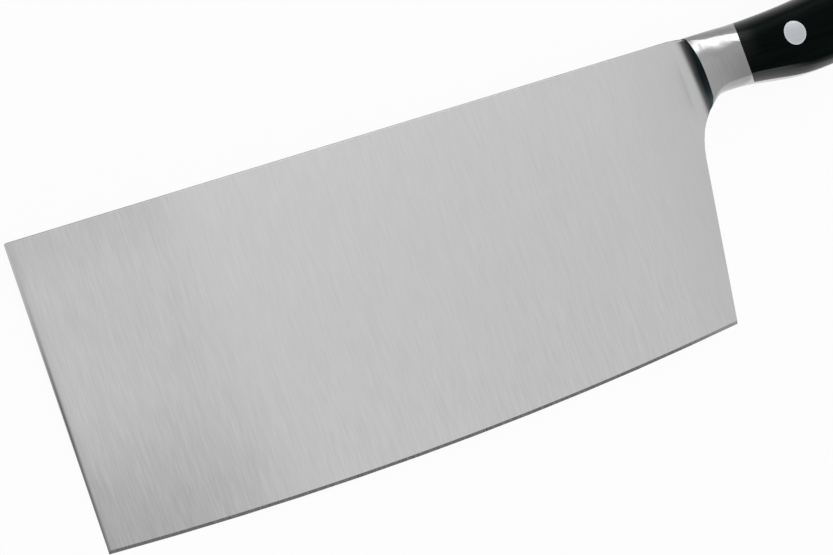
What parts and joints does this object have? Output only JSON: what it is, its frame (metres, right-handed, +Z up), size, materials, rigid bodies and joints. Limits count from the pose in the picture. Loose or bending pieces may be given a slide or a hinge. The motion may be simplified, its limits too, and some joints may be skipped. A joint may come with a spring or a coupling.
{
  "type": "chinese cleaver",
  "caption": "Chinese chef's cleaver: broad thin satin-ground steel blade, forged bolster and full tang, and a dark wood handle of riveted scales.",
  "frame": {"origin": "under the middle of the knife, on the surface that it lies on", "axes": "+X from the front of the blade to the butt of the handle, +Y from the cutting edge to the spine, +Z up, out of the blade's left side"},
  "size_m": [0.3228, 0.0871, 0.0188],
  "materials": {
    "blade_steel": "satin, ground across the blade",
    "handle_wood": "dense black wood, satin polish",
    "rivet_metal": "ground flush"
  },
  "bodies": {
    "root": {"blade_and_tang": "blade_steel", "left_scale": "handle_wood", "right_scale": "handle_wood", "rivet_front_sleeve": "rivet_metal", "rivet_front_pin": "rivet_metal", "rivet_middle_sleeve": "rivet_metal", "rivet_middle_pin": "rivet_metal", "rivet_rear_sleeve": "rivet_metal", "rivet_rear_pin": "rivet_metal"}
  },
  "joints": []
}
